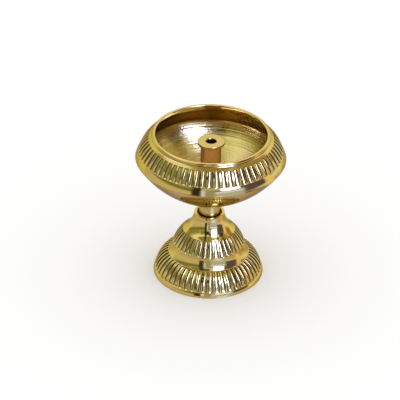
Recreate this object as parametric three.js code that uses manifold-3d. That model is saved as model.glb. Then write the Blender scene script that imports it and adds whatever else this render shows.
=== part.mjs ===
// Pedestal oil lamp in turned brass, in millimetres, +Z up.
// The origin is the centre of the circle that the foot stands on, and every piece is turned about +Z.
// From the bottom up: a hollow bell base with a tapped crown, a neck spindle that screws into it, a knurled
// collar and an oil bowl that drop over the spindle's stud, a fibre seal, and a wick post that screws down
// on the stud and clamps the bowl.
import * as THREE from "three";
import { mergeVertices } from "three/addons/utils/BufferGeometryUtils.js";
import Module from "manifold-3d";

// ---------------------------------------------------------------- driving dimensions

// Bell base
const FOOT_RADIUS = 26.5;
const FOOT_INNER_RADIUS = 24.0;
const FOOT_BAND_HEIGHT = 2.4;
const DOME_TOP_RADIUS = 19.2;
const DOME_TOP_HEIGHT = 11.1;
const BELL_FLUTE_LOW = [17.15, 16.5];
const BELL_FLUTE_HIGH = [12.2, 24.0];
const CUP_LIP_RADIUS = 7.35;
const CUP_LIP_HEIGHT = 32.85;
const CUP_BORE_RADIUS = 6.05;
const CUP_FLOOR_HEIGHT = 28.9;
const CROWN_BOSS_RADIUS = 7.2;
const CROWN_BOSS_BOTTOM = 18.0;
const BASE_WALL = 2.2;

// Neck spindle, with a screw thread at both ends
const LOWER_THREAD_RADIUS = 4.0;
const NECK_RADIUS = 5.1;
const UPPER_THREAD_RADIUS = 3.0;
const THREAD_CLEARANCE = 0.1;
const NECK_TOP_HEIGHT = 38.05;
const STUD_TOP_HEIGHT = 54.0;

// Knurled collar
const COLLAR_RADIUS = 6.6;
const COLLAR_HEIGHT = 4.0;

// Oil bowl
const BOWL_RADIUS = 35.95;
const BOWL_EDGE_HEIGHT = 63.3;
const BOWL_TOP_HEIGHT = 76.3;
const BOWL_FLUTE_LOW = [34.35, 66.8];
const BOWL_FLUTE_HIGH = [29.3, 74.0];
const MOUTH_RADIUS = 26.55;
const BOWL_WALL = 1.9;
const BOWL_FLOOR = 2.2;

// Seal and wick post
const SEAL_RADIUS = 6.0;
const SEAL_THICKNESS = 0.8;
const POST_TOP_HEIGHT = 72.3;
const POST_HEAD_RADIUS = 6.6;
const POST_HEAD_THICKNESS = 1.5;
const POST_STEM_RADIUS = 4.85;
const WICK_BORE_RADIUS = 2.46;
const FEED_HOLE_RADIUS = 1.1;
const FEED_HOLE_HEIGHT = 58.0;

// Flutes: [count, depth]
const BOWL_FLUTES = [66, 0.5];
const BELL_FLUTES = [40, 0.45];
const DOME_FLUTES = [52, 0.5];

// Gap between faces that bear on each other, and the number of sides of a turned surface
const FACE_GAP = 0.05;
const BOWL_SIDES = 66;
const BASE_SIDES = 52;
const HIDDEN_SIDES = 36;
const SMALL_SIDES = 30;

// ---------------------------------------------------------------- materials

const brass = (color, roughness) =>
  new THREE.MeshStandardMaterial({ color, roughness, metalness: 1 });

const POLISHED_BRASS = 0xd2b25c;
const PALE_BRASS = 0xd9bf7e;
const DEEP_BRASS = 0xb8912f;
const RED_FIBRE = 0x6e3a24;

// ---------------------------------------------------------------- outlines

// A round stretch from one point to another that stands out by sagitta on the right of the direction of
// travel. The first point is left out, so that stretches join without a repeated point.
function arc(from, to, sagitta, steps) {
  const start = new THREE.Vector2(...from);
  const end = new THREE.Vector2(...to);
  const chord = end.clone().sub(start);
  const outward = new THREE.Vector2(chord.y, -chord.x).normalize();
  const half = chord.length() / 2;
  const radius = (half * half + sagitta * sagitta) / (2 * sagitta);
  const centre = start.clone().add(end).multiplyScalar(0.5);
  centre.addScaledVector(outward, sagitta - radius);
  const spoke = start.clone().sub(centre);
  const sweep = 2 * Math.asin(half / Math.abs(radius)) * Math.sign(sagitta);
  const points = [];
  for (let i = 1; i <= steps; i++) {
    const turned = spoke.clone().rotateAround(new THREE.Vector2(), (sweep * i) / steps);
    points.push(i === steps ? to : [centre.x + turned.x, centre.y + turned.y]);
  }
  return points;
}

// Turns a closed [radius, height] outline about +Z. Its points run anticlockwise, up outside and down inside.
function turned(outline, sides) {
  const points = [...outline, outline[0]].map(([r, z]) => new THREE.Vector2(r, z));
  return new THREE.LatheGeometry(points, sides).rotateX(Math.PI / 2);
}

// ---------------------------------------------------------------- fluted turnings

// One ring of a turned skin: points evenly round +Z, with every second one moved by sunk [radius, height].
function ring([radius, height], sides, sunk = [0, 0]) {
  return Array.from({ length: sides }, (_, i) => {
    const odd = i % 2;
    const spoke = new THREE.Vector3(radius + odd * sunk[0], 0, height + odd * sunk[1]);
    return spoke.applyAxisAngle(new THREE.Vector3(0, 0, 1), (2 * Math.PI * i) / sides);
  });
}

const plain = (outline, sides) => outline.map((point) => ring(point, sides));

// Rings along an arc whose odd meridians are milled down to the flutes' depth, running out at both ends.
function fluted(low, high, sagitta, [count, depth], steps) {
  const chord = new THREE.Vector2(high[0] - low[0], high[1] - low[1]).normalize();
  return [low, ...arc(low, high, sagitta, steps)].map((point, i) => {
    const bite = depth * Math.sqrt(Math.sin((Math.PI * i) / steps));
    return ring(point, 2 * count, [-chord.y * bite, chord.x * bite]);
  });
}

// Fills the band between two rings, which may have different numbers of points, with triangles facing out.
function bandBetween(lower, upper) {
  const faces = [];
  let i = 0;
  let j = 0;
  while (i < lower.length || j < upper.length) {
    const a = lower[i % lower.length];
    const b = upper[j % upper.length];
    const stepLower = (i + 1) / lower.length <= (j + 1) / upper.length;
    if (stepLower && i < lower.length) faces.push(a, lower[++i % lower.length], b);
    else faces.push(a, upper[++j % upper.length], b);
  }
  return faces;
}

// A closed skin through a loop of rings that run up the outside and back down the inside.
function skin(rings) {
  const corners = rings.flatMap((lower, k) => bandBetween(lower, rings[(k + 1) % rings.length]));
  const geometry = new THREE.BufferGeometry().setFromPoints(corners);
  geometry.computeVertexNormals();
  return geometry;
}

// ---------------------------------------------------------------- solids

const wasm = await Module();
wasm.setup();

function solid(geometry) {
  const bare = geometry.clone();
  bare.deleteAttribute("normal");
  bare.deleteAttribute("uv");
  const merged = mergeVertices(bare, 1e-4);
  return new wasm.Manifold(
    new wasm.Mesh({
      numProp: 3,
      vertProperties: merged.attributes.position.array,
      triVerts: new Uint32Array(merged.index.array),
    }),
  );
}

function geometryOf(manifold) {
  const { vertProperties, triVerts } = manifold.getMesh();
  const indexed = new THREE.BufferGeometry()
    .setAttribute("position", new THREE.BufferAttribute(vertProperties, 3))
    .setIndex(new THREE.BufferAttribute(triVerts, 1));
  const faceted = indexed.toNonIndexed();
  faceted.computeVertexNormals();
  return faceted;
}

// ---------------------------------------------------------------- pieces

// Hollow bell: foot ring, fluted dome, cove, fluted bell, flare and cup lip outside. Inside, a boss hangs
// under the cup floor, and its bore takes the spindle's lower thread.
function baseGeometry() {
  const domeLow = [FOOT_RADIUS - 0.8, FOOT_BAND_HEIGHT];
  const domeHigh = [DOME_TOP_RADIUS, DOME_TOP_HEIGHT];
  const domeBulge = 1.42;
  const coveLow = [DOME_TOP_RADIUS, DOME_TOP_HEIGHT + 0.1];
  const coveHollow = -0.5;
  const bellBulge = 0.6;
  const flareHigh = [CUP_LIP_RADIUS + 0.15, CUP_LIP_HEIGHT - 1.45];
  const flareHollow = -0.78;
  const threadBore = LOWER_THREAD_RADIUS + THREAD_CLEARANCE;
  const crown = BELL_FLUTE_HIGH[1] - BASE_WALL;
  const innerBellHigh = [BELL_FLUTE_HIGH[0] - BASE_WALL, crown];
  const innerBellLow = [BELL_FLUTE_LOW[0] - BASE_WALL, BELL_FLUTE_LOW[1] - 0.8];
  const innerDomeHigh = [DOME_TOP_RADIUS - BASE_WALL, DOME_TOP_HEIGHT - 1.4];
  const innerDomeLow = [FOOT_INNER_RADIUS, 1.2];
  const foot = [
    [FOOT_RADIUS, 0],
    [FOOT_RADIUS, 0.6],
  ];
  const lip = [
    [CUP_LIP_RADIUS, CUP_LIP_HEIGHT - 0.25],
    [CUP_LIP_RADIUS - 0.25, CUP_LIP_HEIGHT],
    [CUP_BORE_RADIUS, CUP_LIP_HEIGHT],
  ];
  const cupAndBore = [
    [CUP_BORE_RADIUS, CUP_FLOOR_HEIGHT],
    [threadBore, CUP_FLOOR_HEIGHT],
    [threadBore, CROWN_BOSS_BOTTOM],
    [CROWN_BOSS_RADIUS, CROWN_BOSS_BOTTOM],
    [CROWN_BOSS_RADIUS, crown],
  ];
  const hollow = [
    innerBellHigh,
    ...arc(innerBellHigh, innerBellLow, -bellBulge, 2),
    innerDomeHigh,
    ...arc(innerDomeHigh, innerDomeLow, -domeBulge, 3),
    [FOOT_INNER_RADIUS, 0],
  ];
  return skin([
    ...plain(foot, BASE_SIDES),
    ...fluted(domeLow, domeHigh, domeBulge, DOME_FLUTES, 4),
    ...plain([coveLow, ...arc(coveLow, BELL_FLUTE_LOW, coveHollow, 3).slice(0, -1)], BASE_SIDES),
    ...fluted(BELL_FLUTE_LOW, BELL_FLUTE_HIGH, bellBulge, BELL_FLUTES, 4),
    ...plain([...arc(BELL_FLUTE_HIGH, flareHigh, flareHollow, 4), ...lip], BELL_FLUTES[0]),
    ...plain(cupAndBore, SMALL_SIDES),
    ...plain(hollow, HIDDEN_SIDES),
  ]);
}

// Spindle: lower thread, plain neck and upper stud, in one turned bar with chamfered ends.
function spindleGeometry() {
  const bottom = CROWN_BOSS_BOTTOM + 1;
  const chamfer = 0.6;
  const shoulder = CUP_FLOOR_HEIGHT + FACE_GAP;
  return turned(
    [
      [0, bottom],
      [LOWER_THREAD_RADIUS - chamfer, bottom],
      [LOWER_THREAD_RADIUS, bottom + chamfer],
      [LOWER_THREAD_RADIUS, shoulder],
      [NECK_RADIUS, shoulder],
      [NECK_RADIUS, NECK_TOP_HEIGHT],
      [UPPER_THREAD_RADIUS, NECK_TOP_HEIGHT],
      [UPPER_THREAD_RADIUS, STUD_TOP_HEIGHT - chamfer],
      [UPPER_THREAD_RADIUS - chamfer, STUD_TOP_HEIGHT],
      [0, STUD_TOP_HEIGHT],
    ],
    SMALL_SIDES,
  );
}

const collarBottom = NECK_TOP_HEIGHT + FACE_GAP;
const collarTop = collarBottom + COLLAR_HEIGHT;

// Collar: a ring with chamfered rims, whose outside is the knurled grip.
function collarGeometry() {
  const bore = UPPER_THREAD_RADIUS + THREAD_CLEARANCE;
  const chamfer = 0.35;
  return turned(
    [
      [bore, collarBottom],
      [COLLAR_RADIUS - chamfer, collarBottom],
      [COLLAR_RADIUS, collarBottom + chamfer],
      [COLLAR_RADIUS, collarTop - chamfer],
      [COLLAR_RADIUS - chamfer, collarTop],
      [bore, collarTop],
    ],
    SMALL_SIDES,
  );
}

const bowlBottom = collarTop + FACE_GAP;
const bowlFloorTop = bowlBottom + BOWL_FLOOR;

// Bowl: a seat on the collar, a shallow round underside, a sharp edge at the widest place, a fluted shoulder
// that leans in, a step and a rolled lip. The inside is undercut behind the shoulder and falls to the pad.
function bowlGeometry() {
  const seat = [COLLAR_RADIUS + 0.3, bowlBottom + 0.3];
  const edgeLow = [BOWL_RADIUS, BOWL_EDGE_HEIGHT];
  const edgeHigh = [BOWL_RADIUS, BOWL_EDGE_HEIGHT + 0.25];
  const shoulderBulge = 0.78;
  const belly = [20, 47.6];
  const bellyBulge = 0.43;
  const flankBulge = 1.3;
  const underside = [...arc(seat, belly, bellyBulge, 2), ...arc(belly, edgeLow, flankBulge, 4), edgeHigh];
  const lip = BOWL_TOP_HEIGHT;
  const hole = UPPER_THREAD_RADIUS + THREAD_CLEARANCE;
  const innerShoulder = [BOWL_FLUTE_HIGH[0] - BOWL_WALL, BOWL_FLUTE_HIGH[1] - 0.7];
  const innerEdge = [BOWL_RADIUS - 3.35, BOWL_EDGE_HEIGHT + 2.6];
  const innerCorner = [BOWL_RADIUS - 2.85, BOWL_EDGE_HEIGHT + 0.6];
  const innerFlank = [29.3, 57.7];
  const innerShoulderHollow = -0.5;
  const innerCornerHollow = -0.18;
  const innerFlankHollow = -0.46;
  const innerFloorHollow = -1.57;
  const pad = [POST_HEAD_RADIUS, bowlFloorTop];
  const rolledLip = [
    [MOUTH_RADIUS + 1.6, lip - 1.6],
    [MOUTH_RADIUS + 1.75, lip - 1.3],
    [MOUTH_RADIUS + 1.7, lip - 0.55],
    [MOUTH_RADIUS + 0.9, lip],
    [MOUTH_RADIUS + 0.2, lip - 0.1],
    [MOUTH_RADIUS, lip - 0.5],
    [MOUTH_RADIUS, lip - 1.7],
  ];
  const inside = [
    innerShoulder,
    ...arc(innerShoulder, innerEdge, innerShoulderHollow, 2),
    ...arc(innerEdge, innerCorner, innerCornerHollow, 1),
    ...arc(innerCorner, innerFlank, innerFlankHollow, 2),
    ...arc(innerFlank, pad, innerFloorHollow, 4),
  ];
  return skin([
    ...plain([[hole, bowlBottom]], SMALL_SIDES),
    ...plain([[COLLAR_RADIUS - 0.1, bowlBottom], seat], HIDDEN_SIDES),
    ...plain(underside, BOWL_SIDES),
    ...fluted(BOWL_FLUTE_LOW, BOWL_FLUTE_HIGH, shoulderBulge, BOWL_FLUTES, 4),
    ...plain([...rolledLip, ...inside.slice(0, -1)], BOWL_SIDES),
    ...plain([pad], HIDDEN_SIDES),
    ...plain([[hole, bowlFloorTop]], SMALL_SIDES),
  ]);
}

const sealBottom = bowlFloorTop + FACE_GAP;
const postBottom = sealBottom + SEAL_THICKNESS + FACE_GAP;

// Seal: a flat washer around the stud, between the bowl's floor and the post.
function sealGeometry() {
  const bore = UPPER_THREAD_RADIUS + THREAD_CLEARANCE;
  return turned(
    [
      [bore, sealBottom],
      [SEAL_RADIUS, sealBottom],
      [SEAL_RADIUS, sealBottom + SEAL_THICKNESS],
      [bore, sealBottom + SEAL_THICKNESS],
    ],
    SMALL_SIDES,
  );
}

// Wick post: a foot flange, a plain stem and a mushroom head. The stud's thread fills the wide bore from
// below, the wick comes down the narrow bore from above, and a cross hole lets the oil in to it.
function postGeometry() {
  const studBore = UPPER_THREAD_RADIUS + THREAD_CLEARANCE;
  const studBoreTop = STUD_TOP_HEIGHT + 1;
  const footTop = postBottom + 1.6;
  const headUnder = POST_TOP_HEIGHT - POST_HEAD_THICKNESS;
  const neckUnder = headUnder - 0.6;
  const body = solid(
    turned(
      [
        [studBore, postBottom],
        [SEAL_RADIUS, postBottom],
        [SEAL_RADIUS, footTop - 0.4],
        [POST_STEM_RADIUS, footTop],
        [POST_STEM_RADIUS, neckUnder],
        [POST_HEAD_RADIUS - 0.4, headUnder],
        [POST_HEAD_RADIUS, headUnder + 0.4],
        [POST_HEAD_RADIUS, POST_TOP_HEIGHT - 0.35],
        [POST_HEAD_RADIUS - 0.35, POST_TOP_HEIGHT],
        [WICK_BORE_RADIUS + 0.3, POST_TOP_HEIGHT],
        [WICK_BORE_RADIUS, POST_TOP_HEIGHT - 0.3],
        [WICK_BORE_RADIUS, studBoreTop],
        [studBore, studBoreTop],
      ],
      SMALL_SIDES,
    ),
  );
  const drill = new THREE.CylinderGeometry(FEED_HOLE_RADIUS, FEED_HOLE_RADIUS, 4 * POST_STEM_RADIUS, 12);
  drill.rotateZ(Math.PI / 2);
  drill.translate(0, 0, FEED_HOLE_HEIGHT);
  return geometryOf(body.subtract(solid(drill)));
}

// ---------------------------------------------------------------- assembly

function piece(name, geometry, material) {
  const mesh = new THREE.Mesh(geometry, material);
  mesh.name = name;
  return mesh;
}

const pedestal = new THREE.Group();
pedestal.add(
  piece("base", baseGeometry(), brass(POLISHED_BRASS, 0.16)),
  piece("neck_spindle", spindleGeometry(), brass(PALE_BRASS, 0.25)),
);

const cup = new THREE.Group();
cup.add(
  piece("knurled_collar", collarGeometry(), brass(PALE_BRASS, 0.35)),
  piece("bowl", bowlGeometry(), brass(POLISHED_BRASS, 0.18)),
);

const wickHolder = new THREE.Group();
wickHolder.add(
  piece(
    "post_seal",
    sealGeometry(),
    new THREE.MeshStandardMaterial({ color: RED_FIBRE, roughness: 0.85, metalness: 0 }),
  ),
  piece("wick_post", postGeometry(), brass(DEEP_BRASS, 0.3)),
);

const lamp = new THREE.Group();
lamp.add(pedestal, cup, wickHolder);

export default lamp;
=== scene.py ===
import math
import random

import bpy
import numpy as np
from mathutils import Matrix, Vector


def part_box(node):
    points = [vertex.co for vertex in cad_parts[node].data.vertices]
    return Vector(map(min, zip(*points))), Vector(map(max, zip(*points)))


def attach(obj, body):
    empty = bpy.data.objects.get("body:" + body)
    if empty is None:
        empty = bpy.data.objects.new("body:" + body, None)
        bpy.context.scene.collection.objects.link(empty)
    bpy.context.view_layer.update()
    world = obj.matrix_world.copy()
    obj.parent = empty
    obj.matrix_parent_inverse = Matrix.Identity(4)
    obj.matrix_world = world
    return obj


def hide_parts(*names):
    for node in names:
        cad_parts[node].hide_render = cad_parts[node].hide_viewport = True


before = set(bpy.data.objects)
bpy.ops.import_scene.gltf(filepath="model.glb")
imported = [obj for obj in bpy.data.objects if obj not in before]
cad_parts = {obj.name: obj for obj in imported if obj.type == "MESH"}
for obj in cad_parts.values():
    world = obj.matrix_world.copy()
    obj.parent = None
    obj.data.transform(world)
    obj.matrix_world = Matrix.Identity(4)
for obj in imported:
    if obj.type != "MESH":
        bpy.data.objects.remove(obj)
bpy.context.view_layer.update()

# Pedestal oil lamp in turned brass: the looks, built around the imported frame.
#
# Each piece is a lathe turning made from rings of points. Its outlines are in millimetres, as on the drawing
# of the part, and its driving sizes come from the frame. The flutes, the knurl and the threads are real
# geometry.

MM = 0.001
TURN = 2 * math.pi


def top_of(node):
    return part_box(node)[1].z / MM


def bottom_of(node):
    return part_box(node)[0].z / MM


def radius_of(node):
    low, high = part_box(node)
    return (high.x - low.x) / 2 / MM


# ---------------------------------------------------------------- camera

CAMERA_ELEVATION = math.radians(32.0)
CAMERA_ROLL = math.radians(1.3)
CAMERA_DISTANCE = 1.4388
CAMERA_LENS = 270.0
AIM_HEIGHT = 0.038
AIM_LEFT = 0.00465
AIM_UP = 0.00102


def make_camera():
    """A long lens from 32 degrees above, rolled a little, with the lamp just right of the middle."""
    right = Vector((1, 0, 0))
    up = Vector((0, math.sin(CAMERA_ELEVATION), math.cos(CAMERA_ELEVATION)))
    back = right.cross(up)
    rolled_right = right * math.cos(CAMERA_ROLL) + up * math.sin(CAMERA_ROLL)
    rolled_up = up * math.cos(CAMERA_ROLL) - right * math.sin(CAMERA_ROLL)
    aim = Vector((0, 0, AIM_HEIGHT)) - rolled_right * AIM_LEFT + rolled_up * AIM_UP
    data = bpy.data.cameras.new("camera")
    data.lens = CAMERA_LENS
    data.sensor_width = 36.0
    data.clip_end = 20.0
    camera = bpy.data.objects.new("camera", data)
    axes = Matrix((rolled_right, rolled_up, back)).transposed().to_4x4()
    camera.matrix_world = Matrix.Translation(aim + back * CAMERA_DISTANCE) @ axes
    bpy.context.scene.collection.objects.link(camera)
    bpy.context.scene.camera = camera


# ---------------------------------------------------------------- outlines

def arc(start, end, sagitta, steps):
    """Points after start, up to end, on a round stretch that stands out by sagitta, right of travel."""
    start, end = np.array(start, float), np.array(end, float)
    chord = end - start
    half = np.hypot(*chord) / 2
    outward = np.array([chord[1], -chord[0]]) / (2 * half)
    radius = (half**2 + sagitta**2) / (2 * sagitta)
    centre = (start + end) / 2 + outward * (sagitta - radius)
    sweep = 2 * math.asin(half / abs(radius)) * math.copysign(1, sagitta)
    points = []
    for i in range(1, steps + 1):
        c, s = math.cos(sweep * i / steps), math.sin(sweep * i / steps)
        spoke = start - centre
        turned = np.array([c * spoke[0] - s * spoke[1], s * spoke[0] + c * spoke[1]])
        points.append(tuple(centre + turned))
    return points


# Where the middle point of a rounded corner lies, as a share of the way towards each of its neighbours.
CORNER_SHARE = 0.29


def rounded(corner, before, after, size):
    """Three points that take the sharpness off a corner between its two neighbours."""
    corner, before, after = (np.array(p, float) for p in (corner, before, after))
    to_before = (before - corner) / np.hypot(*(before - corner)) * size
    to_after = (after - corner) / np.hypot(*(after - corner)) * size
    middle = corner + (to_before + to_after) * CORNER_SHARE
    return [tuple(corner + to_before), tuple(middle), tuple(corner + to_after)]


def eased(outline, size, closed=True):
    """The outline with every corner rounded off by size, apart from the ends of an open one."""
    points = []
    n = len(outline)
    for i, corner in enumerate(outline):
        if not closed and i in (0, n - 1):
            points.append(corner)
        else:
            points += rounded(corner, outline[i - 1], outline[(i + 1) % n], size)
    return points


def divided(outline, step):
    """The same outline with no stretch longer than step."""
    points = [outline[0]]
    for a, b in zip(outline, outline[1:]):
        n = max(1, math.ceil(math.dist(a, b) / step))
        points += [tuple(np.array(a) + (np.array(b) - a) * k / n) for k in range(1, n + 1)]
    return points


# ---------------------------------------------------------------- rings

# A ring is a dict of arrays over its points: angle, radius, height and worn, a mask of painted shade and
# patina which is 0 in the open and 1 deep in grooves, roots and hollows, where shade falls and polish doesn't
# reach.
# A mesh keeps worn, and along, how far the outline has come in millimetres.

def ring(angle, radius, height, shade_patina_mask=0.0):
    ones = np.ones_like(angle)
    return {"angle": angle, "radius": radius * ones, "height": height * ones, "shade_patina_mask": shade_patina_mask * ones}


def even_angles(sides):
    return np.arange(sides) * TURN / sides


def plain(outline, sides, shade_patina_mask=0.0):
    return [ring(even_angles(sides), r, z, shade_patina_mask) for r, z in outline]


def fading(outline, sides, shade_patina_mask, reach):
    """Rings that are darker and duller near the axis and clean from the radius reach outwards."""
    return [ring(even_angles(sides), r, z, shade_patina_mask * max(0.0, 1 - r / reach)) for r, z in outline]


# Across a flute, place goes from -1 to 1, and the flute is sunk by 1 - |place| ** TROUGH of its depth. The
# samples crowd towards its walls by the exponent CROWDING. Its painted shade and patina is FLOOR_SHADE_PATINA
# on the floor, and rises to 1 over WALL_SPAN from WALL_START on, so that its walls are painted near black as
# shade;
# from RIDGE outwards it is clean again. UNEVENNESS is how far its place and width stray, and PLAIN_STEP the
# ring spacing, in millimetres, above it.
TROUGH = 3.2
CROWDING = 0.8
FLOOR_SHADE_PATINA = 0.42
WALL_START = 0.36
WALL_SPAN = 0.34
RIDGE = 0.99
UNEVENNESS = 0.03
FLUTE_END_STEPS = 5
CURVE_STEPS = 400
PLAIN_STEP = 0.35


def flute_samples(count, samples, land, rng):
    """Angles across every flute, the place of each in its flute, and each flute's own share of the depth."""
    pitch = TURN / count
    spread = np.linspace(-1, 1, samples - 1)
    across = np.append(np.sign(spread) * np.abs(spread) ** CROWDING, 1 + land / (1 - land))
    angles, place, share = [], [], []
    for k in range(count):
        middle = (k + 0.5) * pitch + rng.uniform(-1, 1) * UNEVENNESS * pitch
        width = (1 - land) * pitch / 2 * (1 + rng.uniform(-1, 1) * UNEVENNESS)
        angles.append(middle + across * width)
        place.append(across)
        share.append(np.full(samples, 1 + rng.uniform(-1, 1) * 3 * UNEVENNESS))
    return np.concatenate(angles), np.concatenate(place), np.concatenate(share)


def fluted(low, high, sagitta, count, depths, margins, ends, rows, samples, land, seed):
    """Rings along an arc with trough-shaped flutes, flat in the floor and steep in the walls.

    depths are those of a flute at its foot, in its middle and at its head, margins what is left plain below
    and above the flutes, ends how much of a flute its two rounded ends take, and land the share of a pitch
    that is left between two flutes.
    """
    rng = random.Random(seed)
    angles, place, share = flute_samples(count, samples, land, rng)
    curve = np.array([low, *arc(low, high, sagitta, CURVE_STEPS)], float)
    lengths = np.append(0, np.cumsum(np.hypot(*np.diff(curve, axis=0).T)))
    flute = lengths[-1] - sum(margins)
    ease = np.linspace(0, 1, FLUTE_END_STEPS + 1)[:-1] ** 1.5
    middle = np.linspace(ends[0], flute - ends[1], rows)
    stops = margins[0] + np.concatenate([ease * ends[0], middle, flute - ends[1] * ease[::-1]])
    above = np.linspace(stops[-1], lengths[-1], 2 + int(margins[1] / PLAIN_STEP))[1:]
    stops = np.concatenate([[0.0] if margins[0] else [], stops, above if margins[1] else []])
    slope = np.gradient(curve, axis=0)
    inward = np.stack([-slope[:, 1], slope[:, 0]], 1) / np.hypot(*slope.T)[:, None]
    made = []
    for stop in stops:
        r, z, in_r, in_z = (np.interp(stop, lengths, v) for v in (*curve.T, *inward.T))
        at = min(max((stop - margins[0]) / flute, 0.0), 1.0)
        from_end = min(at * flute / ends[0], (1 - at) * flute / ends[1], 1.0)
        reach = math.sqrt(max(0.0, 1 - (1 - from_end) ** 2))
        level = depths[0] + (depths[2] - depths[0]) * at
        depth = level + (depths[1] - (depths[0] + depths[2]) / 2) * 4 * at * (1 - at)
        bite = np.clip(reach**2 - np.minimum(np.abs(place), 1) ** TROUGH, 0, None) * share * depth
        # Painted shade, with some patina: the floor is darkened a little and the walls up to near black, as
        # the shade inside the groove.
        climb = np.clip((np.abs(place) - WALL_START) / WALL_SPAN, 0, 1) ** 2
        wall = FLOOR_SHADE_PATINA + (1 - FLOOR_SHADE_PATINA) * climb
        made.append({
            "angle": angles,
            "radius": r + in_r * bite,
            "height": z + in_z * bite,
            "shade_patina_mask": np.where(np.abs(place) < RIDGE, wall * reach, 0.0),
        })
    return made


# The share of their depth that threads and knurls keep at their very ends, the painted shade and patina in
# the root of a thread, and how finely both are sampled.
THREAD_END = 0.15
KNURL_END = 0.2
ROOT_SHADE_PATINA = 0.8
THREAD_SIDES = 64
THREAD_ROWS = 8
KNURL_SAMPLES = 8


def thread_depth(angles, height, pitch, depth, low, high):
    """How far a right-hand V thread is sunk at each angle of one height, fading out at both ends."""
    phase = (height / pitch - angles / TURN) % 1
    fade = np.clip(min(height - low, high - height) / pitch + THREAD_END, 0, 1)
    return depth * fade * (1 - np.abs(2 * phase - 1))


def threaded(radius, low, high, pitch, depth, clearance=0.0, downward=False):
    """Rings of a screw thread: the male one at no clearance, or the female one that lets it through."""
    rows = math.ceil((high - low) / pitch * THREAD_ROWS)
    heights = np.linspace(low, high, rows + 1)
    angles = even_angles(THREAD_SIDES)
    made = []
    for height in heights[::-1] if downward else heights:
        sunk = thread_depth(angles, height, pitch, depth, low, high)
        # Painted shade and patina: each thread darkens towards its root.
        made.append(ring(angles, radius + clearance - sunk, height, sunk / depth * ROOT_SHADE_PATINA))
    return made


def knurled(radius, low, high, count, depth, rows):
    """Rings of a diamond knurl: two crossing sets of V cuts that leave small pyramids."""
    angles = even_angles(count * KNURL_SAMPLES)
    lead = TURN * radius / count
    made = []
    for height in np.linspace(low, high, rows + 1):
        first = np.abs(2 * ((count * angles / TURN + height / lead) % 1) - 1)
        second = np.abs(2 * ((count * angles / TURN - height / lead) % 1) - 1)
        edge = min(1.0, min(height - low, high - height) / (0.5 * lead) + KNURL_END)
        sunk = depth * (1 - np.minimum(first, second)) * edge
        # Painted shade: the knurl darkens towards the bottom of its cuts.
        made.append(ring(angles, radius - sunk, height, sunk / depth))
    return made


# ---------------------------------------------------------------- meshes

def faces_between(lower, upper, lower_start, upper_start):
    """Faces from one ring to the next, quads where their points match and triangles where they don't."""
    n, m = len(lower["angle"]), len(upper["angle"])
    if n == m and np.allclose(lower["angle"], upper["angle"]):
        i = np.arange(n)
        j = (i + 1) % n
        return np.stack([lower_start + i, lower_start + j, upper_start + j, upper_start + i], 1).tolist()
    if n == 1:
        return [[lower_start, upper_start + (j + 1) % m, upper_start + j] for j in range(m)]
    if m == 1:
        return [[lower_start + i, lower_start + (i + 1) % n, upper_start] for i in range(n)]
    low_angles = np.append(lower["angle"], lower["angle"][0] + TURN)
    high_angles = np.append(upper["angle"], upper["angle"][0] + TURN)
    faces = []
    i = j = 0
    while i < n or j < m:
        step_low = j == m or (i < n and low_angles[i + 1] <= high_angles[j + 1])
        a, b = lower_start + i % n, upper_start + j % m
        if step_low:
            i += 1
            faces.append([a, lower_start + i % n, b])
        else:
            j += 1
            faces.append([a, upper_start + j % m, b])
    return faces


def turning(name, rings, body, replaced, material, closed=True, crease=30.0):
    """The closed mesh through a loop of rings, riding on its body in place of its CAD node."""
    starts = np.append(0, np.cumsum([len(r["angle"]) for r in rings]))
    angle, radius, height, shade_patina_mask = (
        np.concatenate([r[key] for r in rings]) for key in ("angle", "radius", "height", "shade_patina_mask")
    )
    points = np.stack([radius * np.cos(angle), radius * np.sin(angle), height], 1) * MM
    middles = [(r["radius"].mean(), r["height"].mean()) for r in rings]
    travel = np.append(0, np.cumsum([math.dist(a, b) for a, b in zip(middles, middles[1:])]))
    along = np.repeat(travel, np.diff(starts))
    faces = []
    for k in range(len(rings) if closed else len(rings) - 1):
        after = (k + 1) % len(rings)
        faces += faces_between(rings[k], rings[after], int(starts[k]), int(starts[after]))
    mesh = bpy.data.meshes.new(name)
    mesh.from_pydata(points.tolist(), [], faces)
    for key, values in (("shade_patina_mask", shade_patina_mask), ("along", along)):
        mesh.attributes.new(key, "FLOAT", "POINT").data.foreach_set("value", values.astype(np.float32))
    mesh.validate()
    mesh.shade_smooth()
    mesh.set_sharp_from_angle(angle=math.radians(crease))
    mesh.materials.append(material)
    piece = bpy.data.objects.new(name, mesh)
    bpy.context.scene.collection.objects.link(piece)
    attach(piece, body)
    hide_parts(replaced)
    return piece


# ---------------------------------------------------------------- node graphs

class Graph:
    """A node tree with short ways to add nodes and join them."""

    def __init__(self, tree):
        self.tree = tree
        tree.nodes.clear()

    def add(self, kind, inputs=(), **settings):
        made = self.tree.nodes.new(kind)
        for key, value in settings.items():
            setattr(made, key, value)
        for key, value in dict(inputs).items():
            if isinstance(value, bpy.types.NodeSocket):
                self.tree.links.new(value, made.inputs[key])
            else:
                made.inputs[key].default_value = value
        return made

    def math(self, operation, a, b=0.0):
        return self.add("ShaderNodeMath", {0: a, 1: b}, operation=operation).outputs[0]

    def mix(self, factor, a, b):
        return self.add("ShaderNodeMix", {0: factor, 6: a, 7: b}, data_type="RGBA").outputs[2]

    def span(self, value, low, high, to_low=0.0, to_high=1.0):
        inputs = {0: value, 1: low, 2: high, 3: to_low, 4: to_high}
        return self.add("ShaderNodeMapRange", inputs, interpolation_type="SMOOTHSTEP").outputs[0]

    def noise(self, vector, scale, detail=3.0, roughness=0.55):
        inputs = {"Vector": vector, "Scale": scale, "Detail": detail, "Roughness": roughness}
        return self.add("ShaderNodeTexNoise", inputs).outputs["Fac"]


# ---------------------------------------------------------------- materials

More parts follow.
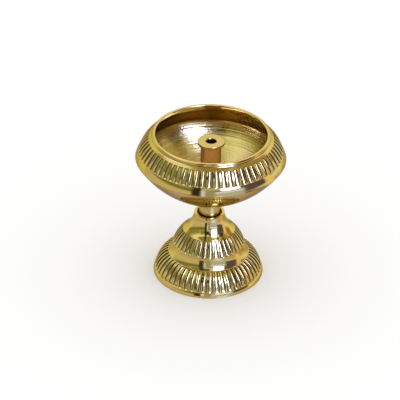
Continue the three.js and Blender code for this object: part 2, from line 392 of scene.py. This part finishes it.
PALE = (0.90, 0.73, 0.31)
DEEP = (0.86, 0.66, 0.25)
# Near black: the colour of painted shade in flutes, thread roots, knurl cuts and hollows, with some patina.
DARK_SHADE_PATINA = (0.025, 0.017, 0.006)
EDGE_TINT = (0.50, 0.42, 0.28, 1)

# Noise scales of a brass, per metre, and what its painted shade and patina and its marks add to its
# roughness.
TONE_SCALE = 45.0
DRIFT_SCALE = 60.0
SMUDGE_SCALE = 90.0
PATCH_SCALE = 320.0
SCRATCH_SCALE = (900.0, 140.0, 500.0)
SCRATCH_HEIGHT = 0.35
SHADE_PATINA_ROUGHNESS = 0.14
MARK_ROUGHNESS = 0.04


def attribute(graph, name):
    return graph.add("ShaderNodeAttribute", attribute_name=name).outputs["Fac"]


def turning_marks(graph, place, lines_per_mm, wander):
    """Height of the fine rings that a tool leaves: noise along the outline, almost even round the axis."""
    along = graph.math("MULTIPLY", attribute(graph, "along"), lines_per_mm)
    drift = graph.math("MULTIPLY", graph.noise(place, DRIFT_SCALE, 2.0), wander)
    inputs = {"W": graph.math("ADD", along, drift), "Scale": 1.0, "Detail": 4.0}
    return graph.add("ShaderNodeTexNoise", inputs, noise_dimensions="1D").outputs["Fac"]


def brass(name, pale=PALE, deep=DEEP, shade_patina_colour=DARK_SHADE_PATINA, *, smooth, rough, marks, lines_per_mm=6.0, wander=0.6,
          shade_patina_strength=0.5, dulled=0.7, marks_height=0.06):
    """Turned brass: two close tones, tarnish where polish doesn't reach, tool marks and faint scratches.

    smooth and rough are the ends of its roughness, and marks is how strongly the tool marks, marks_height
    millimetres high, show. tarnished is how far the dark colour of painted shade and patina covers the
    metal's colour, and dulled its gloss.
    """
    material = bpy.data.materials.new(name)
    material.use_nodes = True
    g = Graph(material.node_tree)
    place = g.add("ShaderNodeTexCoord").outputs["Object"]
    tones = g.span(g.noise(place, TONE_SCALE, 4.0), 0.35, 0.65)
    metal = g.mix(tones, (*pale, 1), (*deep, 1))
    patches = g.span(g.noise(place, PATCH_SCALE, 3.0), 0.25, 0.75, 0.8, 1.0)
    shade_patina_mask = g.math("MULTIPLY", attribute(g, "shade_patina_mask"), patches)
    shade_patina_amount = g.span(shade_patina_mask, 0.35, 0.85)
    # Painted shade and patina: the metal's colour goes towards the dark colour where the mask is high.
    colour = g.mix(g.math("MULTIPLY", shade_patina_amount, shade_patina_strength), metal, (*shade_patina_colour, 1))
    smudges = g.span(g.noise(place, SMUDGE_SCALE, 5.0, 0.65), 0.35, 0.7)
    lines = turning_marks(g, place, lines_per_mm, wander)
    gloss = g.span(smudges, 0.0, 1.0, smooth, rough)
    gloss = g.math("ADD", gloss, g.math("MULTIPLY", shade_patina_mask, SHADE_PATINA_ROUGHNESS * dulled))
    gloss = g.math("ADD", gloss, g.math("MULTIPLY", lines, MARK_ROUGHNESS))
    stretched = g.add("ShaderNodeMapping", {"Vector": place, "Scale": SCRATCH_SCALE}, vector_type="POINT")
    scratches = g.noise(stretched.outputs[0], 1.0, 2.0)
    height = g.math("ADD", lines, g.math("MULTIPLY", scratches, SCRATCH_HEIGHT))
    bump = g.add("ShaderNodeBump", {"Height": height, "Strength": marks, "Distance": marks_height * MM})
    shader = g.add(
        "ShaderNodeBsdfPrincipled",
        {
            "Base Color": colour,
            "Metallic": g.math("SUBTRACT", 1.0, g.math("MULTIPLY", shade_patina_amount, dulled)),
            "Roughness": gloss,
            "Specular IOR Level": 0.05,
            "Specular Tint": EDGE_TINT,
            "Normal": bump.outputs[0],
        },
    )
    g.add("ShaderNodeOutputMaterial", {"Surface": shader.outputs[0]})
    return material


def fibre(name):
    """Pressed fibre, for the seal: matt red brown, flecked and a little swollen with oil."""
    material = bpy.data.materials.new(name)
    material.use_nodes = True
    g = Graph(material.node_tree)
    place = g.add("ShaderNodeTexCoord").outputs["Object"]
    flecks = g.span(g.noise(place, 2500.0, 4.0, 0.7), 0.4, 0.6)
    stains = g.span(g.noise(place, 250.0, 3.0), 0.35, 0.65)
    colour = g.mix(flecks, (0.13, 0.035, 0.018, 1), (0.24, 0.08, 0.04, 1))
    colour = g.mix(g.math("MULTIPLY", stains, 0.5), colour, (0.06, 0.018, 0.01, 1))
    roughness = g.span(stains, 0.0, 1.0, 0.75, 0.45)
    bump = g.add("ShaderNodeBump", {"Height": flecks, "Strength": 0.5, "Distance": 0.08 * MM})
    inputs = {"Base Color": colour, "Roughness": roughness, "Normal": bump.outputs[0]}
    shader = g.add("ShaderNodeBsdfPrincipled", inputs)
    g.add("ShaderNodeOutputMaterial", {"Surface": shader.outputs[0]})
    return material


# ---------------------------------------------------------------- driving sizes, from the frame

FOOT_R = radius_of("base")
LIP_TOP = top_of("base")
SPINDLE_TOP = top_of("neck_spindle")
SPINDLE_BOTTOM = bottom_of("neck_spindle")
NECK_R = 5.1
COLLAR_R = 6.6
COLLAR_LOW = bottom_of("knurled_collar")
COLLAR_HIGH = top_of("knurled_collar")
BOWL_R = radius_of("bowl")
BOWL_LOW = bottom_of("bowl")
BOWL_HIGH = top_of("bowl")
SEAL_LOW = bottom_of("post_seal")
SEAL_HIGH = top_of("post_seal")
POST_LOW = bottom_of("wick_post")
POST_HIGH = top_of("wick_post")
POST_FOOT_R = 6.0

# The lower screw joins spindle and base, the upper one spindle and post: radius, pitch and depth.
LOWER_THREAD = (4.0, 1.25, 0.62)
UPPER_THREAD = (3.0, 1.0, 0.5)
THREAD_GAP = 0.1

DOME_FLUTES = 52
BELL_FLUTES = 40
BOWL_FLUTES = 66
EDGE = 0.12


# ---------------------------------------------------------------- pieces

def make_base(material):
    """Hollow bell: foot ring, fluted dome, cove, fluted bell, flare and cup, with a tapped boss inside."""
    dome_low, dome_high = (FOOT_R - 0.85, 2.55), (19.35, 11.05)
    cove_low, cove_high = (19.2, 11.2), (17.0, 16.35)
    bell_low, bell_high = (17.15, 16.55), (12.2, 24.0)
    flare_low, flare_high = (12.05, 24.15), (7.5, LIP_TOP - 1.45)
    floor, boss, crown = 28.9, 18.0, 21.8
    foot = [
        (FOOT_R - 0.15, 0.0),
        (FOOT_R, 0.15),
        (FOOT_R, 0.55),
        *arc((FOOT_R, 0.55), (FOOT_R - 0.6, 2.2), 0.1, 4),
        (FOOT_R - 0.66, 2.32),
        (FOOT_R - 0.62, 2.42),
    ]
    bead = arc(dome_high, cove_low, 0.06, 4)
    cove = [*arc(cove_low, cove_high, -0.36, 18), (17.08, 16.42)]
    flare = divided(arc(flare_low, flare_high, -0.78, 22), 0.6)
    lip_corners = [flare_high, (7.35, LIP_TOP), (6.05, LIP_TOP), (6.05, floor)]
    lip = eased(lip_corners, EDGE, closed=False)[1:-1]
    cup_foot = (6.05, floor + 0.4)
    cup = [(6.05, LIP_TOP - 1.5), cup_foot, *arc(cup_foot, (5.65, floor), 0.1, 3)]
    lead_in = [(4.5, floor)]
    run_off = [(4.5, boss), (7.0, boss), (7.2, boss + 0.2), (7.2, crown - 0.8), (8.0, crown)]
    hollow = [
        (10.0, crown),
        *arc((10.0, crown), (14.95, 15.7), -0.7, 6),
        (17.0, 9.7),
        *arc((17.0, 9.7), (24.0, 1.2), -1.5, 8),
        (24.0, 0.15),
        (24.15, 0.0),
    ]
    radius, pitch, depth = LOWER_THREAD
    rings = [
        *plain(foot, 260),
        *fluted(dome_low, dome_high, 1.42, DOME_FLUTES, depths=(0.35, 1.10, 0.85), margins=(0.0, 0.15),
                ends=(0.8, 0.2), rows=22, samples=14, land=0.18, seed=3),
        *plain(bead, 260),
        *plain(cove, 260, shade_patina_mask=0.3),
        *fluted(bell_low, bell_high, 0.6, BELL_FLUTES, depths=(0.35, 0.80, 0.60), margins=(0.0, 0.5),
                ends=(0.8, 0.3), rows=20, samples=14, land=0.18, seed=5),
        *plain(flare, 240, shade_patina_mask=0.1),
        *plain(lip, 200),
        # Painted shade and patina, deepening inwards from the cup into the tapped boss and the hollow inside
        # the bell.
        *plain(cup, 128, shade_patina_mask=0.25),
        *plain(lead_in, THREAD_SIDES, shade_patina_mask=0.4),
        *threaded(radius, boss + 0.4, floor - 0.4, pitch, depth, THREAD_GAP, downward=True),
        *plain(run_off, 128, shade_patina_mask=0.5),
        *plain(divided(hollow, 2.0), 160, shade_patina_mask=0.75),
    ]
    return turning("base_bell", rings, "base", "base", material)


def make_spindle(material):
    """Lower thread, neck and upper stud. It rides on the bowl, which it turns with."""
    shoulder, neck_top = 28.95, COLLAR_LOW - 0.05
    low_radius, low_pitch, low_depth = LOWER_THREAD
    high_radius, high_pitch, high_depth = UPPER_THREAD
    low_root, high_root = low_radius - low_depth, high_radius - high_depth
    rings = [
        ring(np.zeros(1), 0.0, SPINDLE_BOTTOM),
        *plain([(low_root - 0.3, SPINDLE_BOTTOM), (low_root, SPINDLE_BOTTOM + 0.3)], THREAD_SIDES),
        *threaded(low_radius, SPINDLE_BOTTOM + 0.5, shoulder - 0.9, low_pitch, low_depth),
        # Painted shade and patina where the neck goes down into the cup and where the stud goes into the
        # collar.
        *plain([(low_root, shoulder - 0.5), (low_root, shoulder)], THREAD_SIDES, shade_patina_mask=0.6),
        *plain([(NECK_R - EDGE, shoulder), (NECK_R, shoulder + EDGE)], 128, shade_patina_mask=0.5),
        *plain([(NECK_R, shoulder + 1.5 + i) for i in range(7)], 128),
        *plain([(NECK_R, neck_top - EDGE), (NECK_R - EDGE, neck_top)], 128),
        *plain([(high_root, neck_top), (high_root, COLLAR_LOW + 0.6)], THREAD_SIDES, shade_patina_mask=0.6),
        *threaded(high_radius, COLLAR_LOW + 1.0, SPINDLE_TOP - 0.5, high_pitch, high_depth),
        *plain([(high_root, SPINDLE_TOP - 0.3), (high_root - 0.3, SPINDLE_TOP)], THREAD_SIDES),
        ring(np.zeros(1), 0.0, SPINDLE_TOP),
    ]
    return turning("neck_and_stud", rings, "bowl", "neck_spindle", material, closed=False)


def make_collar(material):
    """Ring with a diamond knurl between two plain rims."""
    bore = UPPER_THREAD[0] + THREAD_GAP
    rim = 0.45
    low, high = COLLAR_LOW, COLLAR_HIGH
    rings = [
        *plain([(bore + EDGE, low), (COLLAR_R - 0.4, low), (COLLAR_R - 0.12, low + 0.15)], 120),
        *plain([(COLLAR_R - 0.05, low + rim - 0.1)], 120),
        *knurled(COLLAR_R, low + rim, high - rim, 36, 0.42, 24),
        *plain([(COLLAR_R - 0.05, high - rim + 0.1), (COLLAR_R - 0.12, high - 0.15)], 120),
        *plain([(COLLAR_R - 0.4, high), (bore + EDGE, high)], 120),
        *plain([(bore, high - EDGE), (bore, low + EDGE)], 120),
    ]
    return turning("knurled_ring", rings, "bowl", "knurled_collar", material, crease=25.0)


def make_bowl(outside_material, inside_material):
    """Shallow round underside, sharp edge, fluted shoulder, step and rolled lip, undercut inside."""
    shoulder_low, shoulder_high = (34.35, 66.8), (29.35, 73.95)
    hole = UPPER_THREAD[0] + THREAD_GAP
    floor = BOWL_LOW + 2.2
    mouth, top = 26.55, BOWL_HIGH
    seat, belly = (COLLAR_R + 0.3, BOWL_LOW + 0.3), (20.0, 47.6)
    underside = [
        (hole + EDGE, BOWL_LOW),
        (COLLAR_R - 0.1, BOWL_LOW),
        seat,
        *arc(seat, belly, 0.43, 14),
        *arc(belly, (BOWL_R - 0.15, 63.1), 1.3, 34),
        (BOWL_R - 0.02, 63.24),
        (BOWL_R, 63.38),
        (BOWL_R - 0.08, 63.55),
    ]
    ring_band = arc((BOWL_R - 0.08, 63.55), (34.42, 66.7), 0.12, 8)
    step = [
        (29.2, 74.05),
        *arc((29.2, 74.05), (28.35, 74.6), 0.04, 3),
        (28.32, 74.66),
        (28.2, 74.8),
        (28.3, 74.98),
    ]
    lip = [
        *arc((28.3, 74.98), (28.25, 75.75), 0.1, 4),
        *arc((28.25, 75.75), (27.45, top), 0.1, 5),
        *arc((27.45, top), (26.75, top - 0.1), 0.03, 4),
        *arc((26.75, top - 0.1), (mouth, top - 0.5), 0.06, 4),
        (mouth, top - 1.5),
        (mouth + 0.15, top - 1.8),
    ]
    inner_shoulder, inner_edge = (27.5, 73.3), (32.6, 65.9)
    inner_corner, inner_rise = (33.1, 63.9), (29.3, 57.7)
    inside = [
        *arc((mouth + 0.15, top - 1.8), inner_shoulder, -0.1, 3),
        *arc(inner_shoulder, inner_edge, -0.5, 16),
        *arc(inner_edge, inner_corner, -0.18, 8),
        *arc(inner_corner, inner_rise, -0.46, 12),
        *arc(inner_rise, (POST_FOOT_R + 0.6, floor), -1.57, 34),
        (hole + EDGE, floor),
        (hole, floor - EDGE),
        (hole, BOWL_LOW + EDGE),
    ]
    rings = [
        # The underside is made darker and duller towards the axis.
        *fading(underside, 264, 0.5, 40.0),
        *plain(ring_band, 264),
        *fluted(shoulder_low, shoulder_high, 0.78, BOWL_FLUTES, depths=(0.30, 0.98, 0.62), margins=(0.0, 0.5),
                ends=(0.7, 0.3), rows=20, samples=13, land=0.2, seed=7),
        *plain(step, 264),
        *plain(lip, 264),
        *plain(inside, 264, shade_patina_mask=0.05),
    ]
    piece = turning("oil_bowl", rings, "bowl", "bowl", outside_material)
    piece.data.materials.append(inside_material)
    height = np.array([v.co.z for v in piece.data.vertices])
    along = np.array([a.value for a in piece.data.attributes["along"].data])
    inner_start = along[height.argmax()] + 2.0
    index = [int(min(along[v] for v in p.vertices) > inner_start) for p in piece.data.polygons]
    piece.data.polygons.foreach_set("material_index", index)
    return piece


def make_seal(material):
    """Washer between the bowl's floor and the post, pinched a little thinner at its rims."""
    bore = UPPER_THREAD[0] + THREAD_GAP
    corners = [(bore, SEAL_LOW), (POST_FOOT_R, SEAL_LOW), (POST_FOOT_R, SEAL_HIGH), (bore, SEAL_HIGH)]
    rings = plain(divided(eased(corners, 0.2), 0.8), 72)
    return turning("fibre_seal", rings, "seal", "post_seal", material)


def make_post(material):
    """Foot flange, stem and mushroom head, tapped from below, with the wick bore and the oil feed hole."""
    radius, pitch, depth = UPPER_THREAD
    stem, head, bore = 4.85, 6.6, 2.46
    foot_top, under, thread_top = POST_LOW + 1.6, POST_HIGH - 1.5, SPINDLE_TOP + 1.0
    foot_and_stem = [
        (3.4, POST_LOW),
        (POST_FOOT_R - EDGE, POST_LOW),
        (POST_FOOT_R, POST_LOW + EDGE),
        (POST_FOOT_R, foot_top - 0.5),
        (POST_FOOT_R - 0.12, foot_top - 0.35),
        *arc((POST_FOOT_R - 0.12, foot_top - 0.35), (stem, foot_top + 0.4), -0.2, 5),
        (stem, under - 1.0),
        *arc((stem, under - 1.0), (head - 0.45, under), -0.3, 6),
        *arc((head - 0.45, under), (head, under + 0.5), 0.1, 4),
        (head, POST_HIGH - 0.32),
    ]
    face = [
        *arc((head, POST_HIGH - 0.3), (head - 0.3, POST_HIGH), 0.08, 3),
        (bore + 0.4, POST_HIGH),
        *arc((bore + 0.4, POST_HIGH), (bore, POST_HIGH - 0.4), 0.05, 3),
    ]
    wick_bore = [(bore, POST_HIGH - 0.45), (bore, thread_top)]
    rings = [
        # Painted shade on the side and underside of the head; the foot and stem are darkened towards red
        # brown.
        *plain(divided(foot_and_stem, 1.2), 128, shade_patina_mask=1.0),
        *plain(divided(face, 0.8), 128),
        # Painted shade in the wick bore.
        *plain(divided(wick_bore, 1.5), 128, shade_patina_mask=0.45),
        *threaded(radius, POST_LOW + 0.3, thread_top - 0.2, pitch, depth, THREAD_GAP, downward=True),
    ]
    piece = turning("wick_tube", rings, "wick_post", "wick_post", material)
    drill_feed_hole(piece, stem)
    return piece


def drill_feed_hole(piece, stem):
    """Cuts the cross hole through both walls of the stem."""
    hole_radius, hole_height, sides = 1.1, 58.0, 32
    mesh = bpy.data.meshes.new("drill")
    turns = [TURN * i / sides for i in range(sides)]
    spots = [(hole_radius * math.cos(turn), hole_radius * math.sin(turn)) for turn in turns]
    points = [(x * 2 * stem * MM, y * MM, (z + hole_height) * MM) for x in (-1, 1) for y, z in spots]
    walls = [[i, i + sides, (i + 1) % sides + sides, (i + 1) % sides] for i in range(sides)]
    mesh.from_pydata(points, [], [*walls, list(range(sides)), list(range(2 * sides - 1, sides - 1, -1))])
    drill = bpy.data.objects.new("drill", mesh)
    bpy.context.scene.collection.objects.link(drill)
    cut = piece.modifiers.new("feed_hole", "BOOLEAN")
    cut.operation = "DIFFERENCE"
    cut.solver = "EXACT"
    cut.object = drill
    bpy.context.view_layer.update()
    drilled = bpy.data.meshes.new_from_object(piece.evaluated_get(bpy.context.evaluated_depsgraph_get()))
    piece.modifiers.clear()
    piece.data = drilled
    bpy.data.objects.remove(drill)


# ---------------------------------------------------------------- studio

# Panels of the studio as the lamp reflects them, where a later one covers an earlier one: azimuth and
# elevation of the middle in degrees (azimuth from the camera's side, right is plus), half width and half
# height, edge softness, and colour.
PANELS = [
    ((-135, 14), (28, 32), 40, (0.70, 0.69, 0.36)),
    ((142, 12), (26, 22), 16, (0.82, 0.82, 0.58)),
    ((-56, 57), (34, 12), 12, (0.85, 0.88, 0.56)),
    ((-62, 4), (52, 9), 12, (0.56, 0.51, 0.33)),
    ((-70, 21), (48, 8), 10, (0.17, 0.165, 0.06)),
    ((-88, 34), (34, 9), 14, (0.27, 0.255, 0.04)),
    ((-38, 38), (14, 9), 10, (0.20, 0.22, 0.04)),
    ((30, 2), (22, 44), 9, (0.47, 0.53, 0.80)),
    ((-1, 12), (9, 18), 6, (0.34, 0.34, 0.28)),
    ((34, 23), (28, 4.5), 4, (0.20, 0.22, 0.26)),
    ((34, 17), (26, 1.6), 1.5, (1.2, 1.4, 2.4)),
    ((70, 18), (19, 17), 7, (0.10, 0.075, 0.12)),
    ((54, 34), (9, 10), 4, (0.10, 0.08, 0.12)),
    ((96, 10), (8, 26), 6, (0.80, 0.68, 0.36)),
    ((113, 24), (11, 15), 8, (0.42, 0.19, 0.015)),
    ((108, 39), (4, 3), 3, (1.8, 1.8, 1.3)),
    ((100, 54), (26, 18), 14, (0.34, 0.27, 0.08)),
    ((73, 43), (11, 9), 4, (0.03, 0.026, 0.026)),
    ((31.5, 42), (13.5, 17.5), 5, (5.5, 6.5, 15.0)),
    ((-20, 30), (7.0, 36), 4, (0.03, 0.026, 0.01)),
    ((-5, 42), (10, 9), 4, (0.035, 0.03, 0.025)),
    ((8, 55), (5, 12), 3.5, (0.05, 0.045, 0.025)),
    ((-6, 57), (6, 5.5), 3, (1.2, 1.1, 1.5)),
    ((-10, 14), (2.4, 10), 2, (0.75, 0.8, 1.4)),
    ((118, -26), (18, 11), 10, (0.55, 0.38, 0.12)),
    ((30, -26), (12, 20), 8, (0.80, 0.86, 1.25)),
    ((165, -30), (24, 14), 12, (0.80, 0.84, 1.1)),
    ((-165, -30), (24, 14), 12, (0.80, 0.84, 1.1)),
]
WALL_COLOUR = (0.80, 0.80, 0.66, 1)
TABLE_COLOUR = (0.52, 0.42, 0.35, 1)
NADIR_COLOUR = (0.62, 0.56, 0.78, 1)
CEILING_COLOUR = (0.30, 0.24, 0.10, 1)
REAR_COLOUR = (1.1, 1.0, 1.3, 1)
DOME_WHITE = (1.05, 1.05, 1.05, 1)


def panel_mask(g, azimuth, elevation, at, half, soft):
    """1 inside a panel of the studio, falling to 0 over its soft edge."""
    mask = None
    for value, middle, extent in ((azimuth, at[0], half[0]), (elevation, at[1], half[1])):
        away = g.math("ABSOLUTE", g.math("SUBTRACT", value, float(middle)))
        inside = g.span(away, extent - soft / 2, extent + soft / 2, 1.0, 0.0)
        mask = inside if mask is None else g.math("MULTIPLY", mask, inside)
    return mask


def make_studio_light():
    """A soft white dome for the floor, and the panels of the studio for what the metal reflects."""
    world = bpy.data.worlds.new("studio")
    bpy.context.scene.world = world
    world.use_nodes = True
    g = Graph(world.node_tree)
    direction = g.add("ShaderNodeTexCoord").outputs["Generated"]
    x, y, z = g.add("ShaderNodeSeparateXYZ", {0: direction}).outputs
    azimuth = g.math("DEGREES", g.math("ARCTAN2", x, g.math("MULTIPLY", y, -1.0)))
    elevation = g.math("DEGREES", g.math("ARCSINE", z))
    room = g.mix(g.span(elevation, -60.0, -40.0), NADIR_COLOUR, TABLE_COLOUR)
    room = g.mix(g.span(elevation, -8.0, 2.0), room, WALL_COLOUR)
    room = g.mix(g.span(elevation, 62.0, 72.0), room, CEILING_COLOUR)
    behind = g.math("MULTIPLY", g.span(y, 0.0, 0.3), g.span(elevation, 40.0, 55.0))
    room = g.mix(behind, room, REAR_COLOUR)
    for at, half, soft, colour in PANELS:
        room = g.mix(panel_mask(g, azimuth, elevation, at, half, soft), room, (*colour, 1))
    rays = g.add("ShaderNodeLightPath").outputs
    lit = g.mix(rays["Is Glossy Ray"], DOME_WHITE, room)
    background = g.add("ShaderNodeBackground", {"Color": lit, "Strength": 1.0})
    g.add("ShaderNodeOutputWorld", {"Surface": background.outputs[0]})


def make_floor():
    """A wide white floor, which the camera sees and the metal doesn't mirror."""
    size = 6.0
    mesh = bpy.data.meshes.new("floor")
    corners = [(-size, -size, 0), (size, -size, 0), (size, size, 0), (-size, size, 0)]
    mesh.from_pydata(corners, [], [[0, 1, 2, 3]])
    material = bpy.data.materials.new("floor_paper")
    material.use_nodes = True
    g = Graph(material.node_tree)
    place = g.add("ShaderNodeTexCoord").outputs["Object"]
    paper = g.mix(g.noise(place, 3.0), (0.96, 0.96, 0.955, 1), (0.98, 0.98, 0.98, 1))
    inputs = {"Base Color": paper, "Roughness": 0.9, "Specular IOR Level": 0.0}
    shader = g.add("ShaderNodeBsdfPrincipled", inputs)
    g.add("ShaderNodeOutputMaterial", {"Surface": shader.outputs[0]})
    mesh.materials.append(material)
    floor = bpy.data.objects.new("floor", mesh)
    floor.visible_glossy = False
    bpy.context.scene.collection.objects.link(floor)


# ---------------------------------------------------------------- the scene

make_camera()
bpy.context.scene.view_settings.view_transform = "Standard"
make_studio_light()
make_floor()

# Painted shade: with this brass the flute walls, thread roots and hollows go near black, with some patina.
polished = brass("polished_brass", smooth=0.05, rough=0.10, marks=0.10, shade_patina_strength=0.97, dulled=0.9)
neck_brass = brass("neck_brass", deep=(0.88, 0.68, 0.30), smooth=0.12, rough=0.20, marks=0.25)
knurl_brass = brass("knurled_brass", smooth=0.18, rough=0.28, marks=0.10, shade_patina_strength=0.7)
well_brass = brass("well_brass", (0.90, 0.74, 0.36), (0.86, 0.68, 0.30), smooth=0.08, rough=0.15, marks=0.9,
                   lines_per_mm=1.2, wander=0.9, marks_height=0.16)
# Its dark colour is red brown, for the painted shade round the head and in the bore and for the darker foot
# and stem.
post_brass = brass("post_brass", (0.90, 0.73, 0.34), DEEP, (0.34, 0.14, 0.035), smooth=0.09, rough=0.16,
                   marks=0.25, lines_per_mm=7.0, shade_patina_strength=0.75, dulled=0.1)

make_base(polished)
make_spindle(neck_brass)
make_collar(knurl_brass)
make_bowl(polished, well_brass)
make_seal(fibre("pressed_fibre"))
make_post(post_brass)
